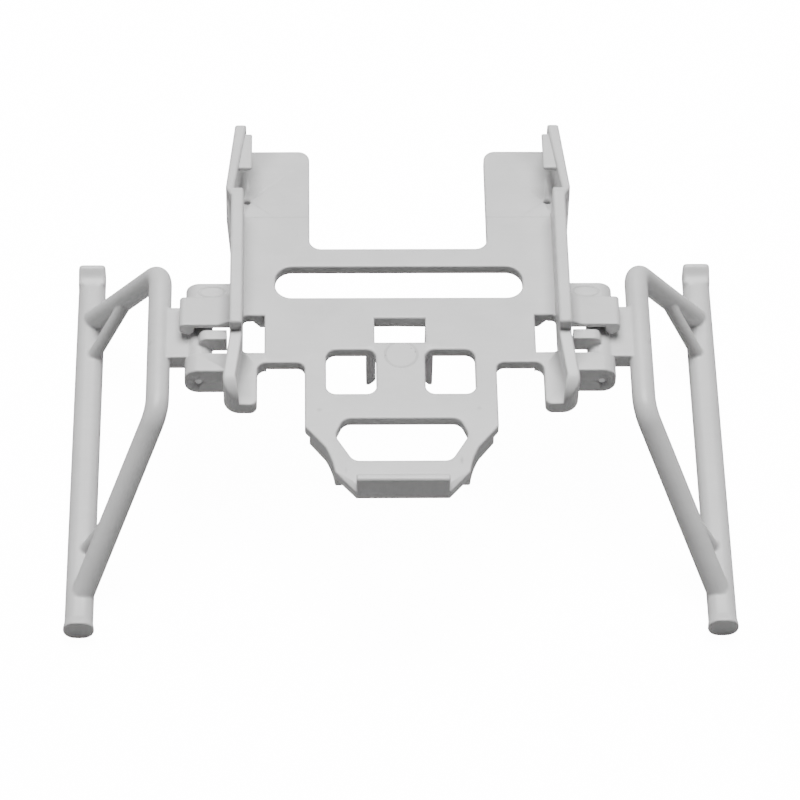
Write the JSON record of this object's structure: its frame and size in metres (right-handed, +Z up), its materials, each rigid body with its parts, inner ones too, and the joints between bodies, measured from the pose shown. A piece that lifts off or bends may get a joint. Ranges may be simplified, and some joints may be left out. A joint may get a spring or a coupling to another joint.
{
  "type": "drone landing gear",
  "caption": "Clip-on landing gear for a small drone: a low open tray with side walls and clip arms, and tubular legs with long skids that fold flat under it.",
  "frame": {"origin": "on the ground under the middle of the whole part's length and width, with the legs down", "axes": "+X to the right across the legs, +Y to the rear where the clip arms are, +Z up"},
  "size_m": [0.136, 0.0994, 0.0439],
  "materials": {
    "grey_plastic": "satin, light grey moulded plastic",
    "pin_steel": "plain ground steel"
  },
  "bodies": {
    "tray_body": {"tray": "grey_plastic", "left_hinge_pin": "pin_steel", "right_hinge_pin": "pin_steel"},
    "left_leg_body": {"left_leg": "grey_plastic"},
    "right_leg_body": {"right_leg": "grey_plastic"}
  },
  "joints": [
    {"name": "left_fold", "type": "hinge", "parent": "tray_body", "child": "left_leg_body", "pos_m": [-0.0407, 0, 0.0318], "axis": [0, -1, 0], "range_deg": [0, 107]},
    {"name": "right_fold", "type": "hinge", "parent": "tray_body", "child": "right_leg_body", "pos_m": [0.0407, 0, 0.0318], "axis": [0, 1, 0], "range_deg": [0, 107]}
  ]
}
